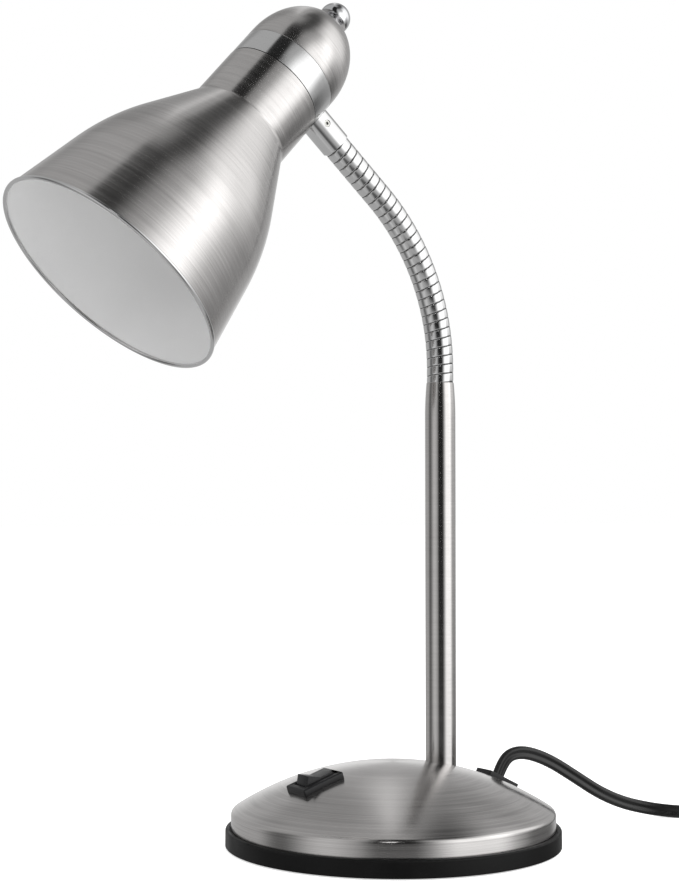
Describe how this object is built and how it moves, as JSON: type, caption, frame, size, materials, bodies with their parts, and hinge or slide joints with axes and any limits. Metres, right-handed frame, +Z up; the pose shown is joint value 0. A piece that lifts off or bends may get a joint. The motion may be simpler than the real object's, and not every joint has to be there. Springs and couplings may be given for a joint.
{
  "type": "desk lamp",
  "caption": "Gooseneck desk lamp: domed weighted base with rocker switch, straight pole, flexible ribbed neck, bell shade with lamp socket, and a mains cord with plug.",
  "frame": {"origin": "centre of the flat underside of the round base, on the table", "axes": "+Z up; -Y towards the shade and switch; +Y towards the pole and the cord; +X to the right seen from the front"},
  "size_m": [0.2131, 0.4601, 0.3752],
  "materials": {
    "black_plastic": "satin moulded black",
    "brushed_nickel": "brushed and lacquered",
    "chrome": "polished",
    "iron": "rough cast",
    "zinc_steel": "zinc plated",
    "brass": "bright",
    "phenolic": "moulded dark phenolic",
    "foam_pad": "matt foam",
    "cord_black": "soft satin sheath",
    "lead_sleeve": "satin sleeve"
  },
  "bodies": {
    "base": {"base_tray": "black_plastic", "base_pad": "foam_pad", "base_cover": "brushed_nickel", "ballast_weight": "iron", "tray_screws": "zinc_steel", "foot_bolt": "zinc_steel", "foot_washer": "zinc_steel", "pole_foot_plug": "zinc_steel", "pole_tube": "brushed_nickel", "pole_top_bush": "zinc_steel", "pole_lead": "lead_sleeve", "splice_caps": "lead_sleeve", "inner_cord": "cord_black", "switch_leads": "lead_sleeve", "switch_housing": "black_plastic", "switch_terminals": "brass", "gooseneck_link_01": "chrome", "neck_lead_01": "lead_sleeve", "cord_bushing": "black_plastic", "cord_lead": "cord_black", "cord_coil": "cord_black", "plug_body": "black_plastic", "plug_blades": "brass"},
    "rocker": {"switch_rocker": "black_plastic", "rocker_plunger": "brass", "plunger_spring": "zinc_steel"},
    "contact": {"contact_lever": "brass"},
    "neck_02": {"gooseneck_link_02": "chrome", "neck_lead_02": "lead_sleeve"},
    "neck_03": {"gooseneck_link_03": "chrome", "neck_lead_03": "lead_sleeve"},
    "neck_04": {"gooseneck_link_04": "chrome", "neck_lead_04": "lead_sleeve"},
    "neck_05": {"gooseneck_link_05": "chrome", "neck_lead_05": "lead_sleeve"},
    "neck_06": {"gooseneck_link_06": "chrome", "neck_lead_06": "lead_sleeve"},
    "neck_07": {"gooseneck_link_07": "chrome", "neck_lead_07": "lead_sleeve"},
    "neck_08": {"gooseneck_link_08": "chrome", "neck_lead_08": "lead_sleeve"},
    "neck_09": {"gooseneck_link_09": "chrome", "neck_lead_09": "lead_sleeve"},
    "head": {"gooseneck_link_10": "chrome", "neck_lead_10": "lead_sleeve", "neck_ferrule": "chrome", "ferrule_set_screw": "zinc_steel", "ferrule_lock_nut": "zinc_steel", "polished_band": "chrome", "cap_dome": "brushed_nickel", "finial_ball": "chrome", "finial_stud": "zinc_steel", "shade": "brushed_nickel", "socket_bracket": "zinc_steel", "socket_body": "phenolic", "socket_shell": "brass", "socket_contact": "brass", "socket_screws": "zinc_steel", "head_lead": "lead_sleeve"}
  },
  "joints": [
    {"name": "neck_bend", "type": "hinge", "parent": "base", "child": "neck_02", "pos_m": [0, 0.0266, 0.22028], "axis": [1, 0, 0], "range_deg": [-14, 9]},
    {"name": "neck_side", "type": "hinge", "parent": "neck_02", "child": "neck_03", "pos_m": [0, 0.02512, 0.23257], "axis": [0, 0.9838, 0.1793], "range_deg": [-10, 10]},
    {"name": "neck_bend_2", "type": "hinge", "parent": "neck_03", "child": "neck_04", "pos_m": [0, 0.02217, 0.24459], "axis": [1, 0, 0], "range_deg": [-14, 9]},
    {"name": "neck_side_2", "type": "hinge", "parent": "neck_04", "child": "neck_05", "pos_m": [0, 0.0178, 0.25618], "axis": [0, 0.9128, 0.4083], "range_deg": [-10, 10]},
    {"name": "neck_bend_3", "type": "hinge", "parent": "neck_05", "child": "neck_06", "pos_m": [0, 0.01208, 0.26716], "axis": [1, 0, 0], "range_deg": [-14, 9]},
    {"name": "neck_side_3", "type": "hinge", "parent": "neck_06", "child": "neck_07", "pos_m": [0, 0.00508, 0.27737], "axis": [0, 0.7894, 0.6139], "range_deg": [-10, 10]},
    {"name": "neck_bend_4", "type": "hinge", "parent": "neck_07", "child": "neck_08", "pos_m": [0, -0.0031, 0.28667], "axis": [1, 0, 0], "range_deg": [-14, 9]},
    {"name": "neck_side_4", "type": "hinge", "parent": "neck_08", "child": "neck_09", "pos_m": [0, -0.01232, 0.29492], "axis": [0, 0.6665, 0.7455], "range_deg": [-10, 10]},
    {"name": "neck_bend_5", "type": "hinge", "parent": "neck_09", "child": "head", "pos_m": [0, -0.02155, 0.30317], "axis": [1, 0, 0], "range_deg": [-14, 9]},
    {"name": "rocker_press", "type": "hinge", "parent": "base", "child": "rocker", "pos_m": [0, -0.04085, 0.02985], "axis": [1, 0, 0], "range_deg": [0, 26]},
    {"name": "contact_rock", "type": "hinge", "parent": "base", "child": "contact", "pos_m": [0, -0.03886, 0.02371], "axis": [1, 0, 0], "range_deg": [-16, 0]}
  ],
  "couplings": [
    {"joint": "neck_bend_2", "follows": "neck_bend", "ratio": 1},
    {"joint": "neck_side_2", "follows": "neck_side", "ratio": 1},
    {"joint": "neck_bend_3", "follows": "neck_bend", "ratio": 1},
    {"joint": "neck_side_3", "follows": "neck_side", "ratio": 1},
    {"joint": "neck_bend_4", "follows": "neck_bend", "ratio": 1},
    {"joint": "neck_side_4", "follows": "neck_side", "ratio": 1},
    {"joint": "neck_bend_5", "follows": "neck_bend", "ratio": 1},
    {"joint": "contact_rock", "follows": "rocker_press", "ratio": -0.61538}
  ]
}
